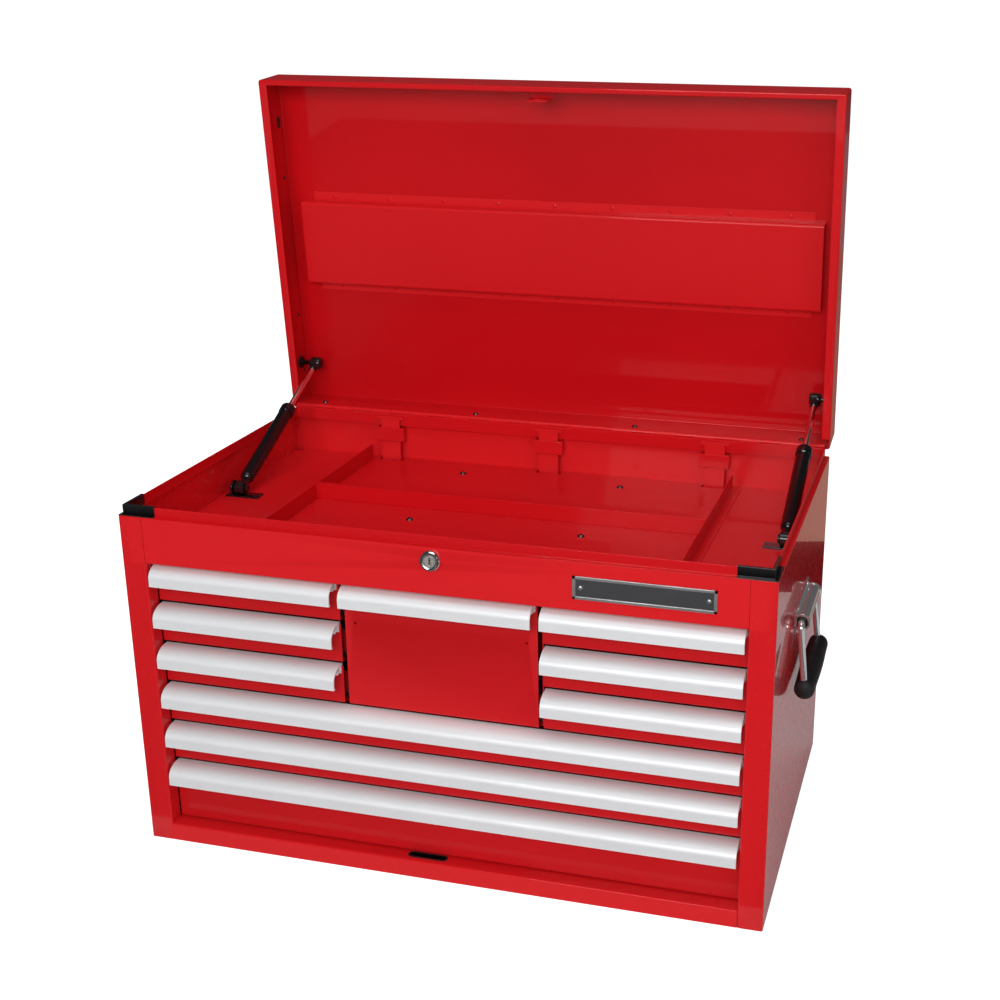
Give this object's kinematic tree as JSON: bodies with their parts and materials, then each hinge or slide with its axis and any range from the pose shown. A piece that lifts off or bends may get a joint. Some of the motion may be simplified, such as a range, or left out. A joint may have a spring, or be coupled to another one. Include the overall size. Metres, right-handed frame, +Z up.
{
  "type": "tool chest",
  "caption": "Lidded steel top chest with a shallow till, sliding drawers in columns and rows, gas lid struts and swinging side handles.",
  "frame": {"origin": "centre of the case's flat base, on the surface it stands on", "axes": "+X to the right across the front, +Y from the drawer fronts to the back, +Z up"},
  "size_m": [0.741, 0.4592, 0.8007],
  "materials": {
    "paint_red": "gloss red enamel",
    "paint_tray": "gloss red enamel, drawer trays",
    "anodised": "satin anodised extrusion",
    "black_plastic": "satin black moulding",
    "black_paint": "gloss black enamel",
    "black_rubber": "matt black rubber",
    "chrome": "bright plating",
    "dark_steel": "dark zinc plated rolled steel",
    "zinc": "zinc plated steel",
    "nameplate": "plain metal plate"
  },
  "bodies": {
    "case": {"side_left": "paint_red", "side_right": "paint_red", "back_panel": "paint_red", "bottom_pan": "paint_red", "top_rail": "paint_red", "rim": "paint_red", "corner_caps": "black_plastic", "till_floor": "paint_red", "till_dividers": "paint_red", "till_screws": "zinc", "column_walls": "paint_red", "middle_shelf": "paint_red", "slide_posts": "dark_steel", "slide_channels": "dark_steel", "lock_housing": "chrome", "badge": "nameplate", "bar_guides": "paint_red", "handle_plates": "chrome", "hinge_case_leaf": "paint_red", "hinge_pin": "zinc", "strut_brackets": "black_paint"},
    "lid": {"hinge_lid_leaf": "paint_red", "lid_pan": "paint_red", "lid_stiffener": "paint_red", "lid_strike": "paint_red", "lid_screws": "zinc"},
    "lock_cylinder": {"lock_plug": "chrome"},
    "bars": {"lock_bars": "paint_red"},
    "handle_left": {"bail_left": "chrome", "grip_left": "black_rubber"},
    "strut_tube_left": {"strut_cylinder_left": "black_paint"},
    "strut_arm_left": {"strut_rod_left": "chrome", "strut_socket_left": "black_plastic"},
    "handle_right": {"bail_right": "chrome", "grip_right": "black_rubber"},
    "strut_tube_right": {"strut_cylinder_right": "black_paint"},
    "strut_arm_right": {"strut_rod_right": "chrome", "strut_socket_right": "black_plastic"},
    "drawer_left_1": {"tray_left_1": "paint_tray", "pull_left_1": "anodised"},
    "drawer_left_2": {"tray_left_2": "paint_tray", "pull_left_2": "anodised"},
    "drawer_left_3": {"tray_left_3": "paint_tray", "pull_left_3": "anodised"},
    "drawer_right_1": {"tray_right_1": "paint_tray", "pull_right_1": "anodised"},
    "drawer_right_2": {"tray_right_2": "paint_tray", "pull_right_2": "anodised"},
    "drawer_right_3": {"tray_right_3": "paint_tray", "pull_right_3": "anodised"},
    "drawer_centre": {"tray_centre": "paint_tray", "pull_centre": "anodised"},
    "drawer_wide_1": {"tray_wide_1": "paint_tray", "pull_wide_1": "anodised"},
    "drawer_wide_2": {"tray_wide_2": "paint_tray", "pull_wide_2": "anodised"},
    "drawer_wide_3": {"tray_wide_3": "paint_tray", "pull_wide_3": "anodised"}
  },
  "joints": [
    {"name": "lid_hinge", "type": "hinge", "parent": "case", "child": "lid", "pos_m": [0, 0.2002, 0.3936], "axis": [1, 0, 0], "range_deg": [0, 85]},
    {"name": "lock_turn", "type": "hinge", "parent": "case", "child": "lock_cylinder", "pos_m": [0, -0.194, 0.367], "axis": [0, 1, 0], "range_deg": [0, 90]},
    {"name": "bar_drop", "type": "slide", "parent": "case", "child": "bars", "axis": [0, 0, -1], "range_m": [0, 0.0101]},
    {"name": "strut_tilt_left", "type": "hinge", "parent": "case", "child": "strut_tube_left", "pos_m": [-0.321, 0.011, 0.344], "axis": [1, 0, 0], "range_deg": [0, 5]},
    {"name": "strut_slide_left", "type": "slide", "parent": "strut_tube_left", "child": "strut_arm_left", "axis": [0, 0.9083, 0.4184], "range_m": [-0.07384, 0]},
    {"name": "handle_swing_left", "type": "hinge", "parent": "case", "child": "handle_left", "pos_m": [-0.3505, -0.012, 0.279], "axis": [0, 1, 0], "range_deg": [0, 95]},
    {"name": "strut_tilt_right", "type": "hinge", "parent": "case", "child": "strut_tube_right", "pos_m": [0.321, 0.011, 0.344], "axis": [1, 0, 0], "range_deg": [0, 5]},
    {"name": "strut_slide_right", "type": "slide", "parent": "strut_tube_right", "child": "strut_arm_right", "axis": [0, 0.9083, 0.4184], "range_m": [-0.07384, 0]},
    {"name": "handle_swing_right", "type": "hinge", "parent": "case", "child": "handle_right", "pos_m": [0.3505, -0.012, 0.279], "axis": [0, -1, 0], "range_deg": [0, 95]},
    {"name": "slide_left_1", "type": "slide", "parent": "case", "child": "drawer_left_1", "axis": [0, -1, 0], "range_m": [0, 0.29]},
    {"name": "slide_left_2", "type": "slide", "parent": "case", "child": "drawer_left_2", "axis": [0, -1, 0], "range_m": [0, 0.29]},
    {"name": "slide_left_3", "type": "slide", "parent": "case", "child": "drawer_left_3", "axis": [0, -1, 0], "range_m": [0, 0.29]},
    {"name": "slide_right_1", "type": "slide", "parent": "case", "child": "drawer_right_1", "axis": [0, -1, 0], "range_m": [0, 0.29]},
    {"name": "slide_right_2", "type": "slide", "parent": "case", "child": "drawer_right_2", "axis": [0, -1, 0], "range_m": [0, 0.29]},
    {"name": "slide_right_3", "type": "slide", "parent": "case", "child": "drawer_right_3", "axis": [0, -1, 0], "range_m": [0, 0.29]},
    {"name": "slide_centre", "type": "slide", "parent": "case", "child": "drawer_centre", "axis": [0, -1, 0], "range_m": [0, 0.29]},
    {"name": "slide_wide_1", "type": "slide", "parent": "case", "child": "drawer_wide_1", "axis": [0, -1, 0], "range_m": [0, 0.29]},
    {"name": "slide_wide_2", "type": "slide", "parent": "case", "child": "drawer_wide_2", "axis": [0, -1, 0], "range_m": [0, 0.29]},
    {"name": "slide_wide_3", "type": "slide", "parent": "case", "child": "drawer_wide_3", "axis": [0, -1, 0], "range_m": [0, 0.29]}
  ],
  "couplings": [
    {"joint": "bar_drop", "follows": "lid_hinge", "m_per_rad": 0.006741},
    {"joint": "strut_tilt_left", "follows": "lid_hinge", "ratio": 0.053008},
    {"joint": "strut_slide_left", "follows": "lid_hinge", "m_per_rad": -0.049706},
    {"joint": "strut_tilt_right", "follows": "lid_hinge", "ratio": 0.053008},
    {"joint": "strut_slide_right", "follows": "lid_hinge", "m_per_rad": -0.049706}
  ]
}
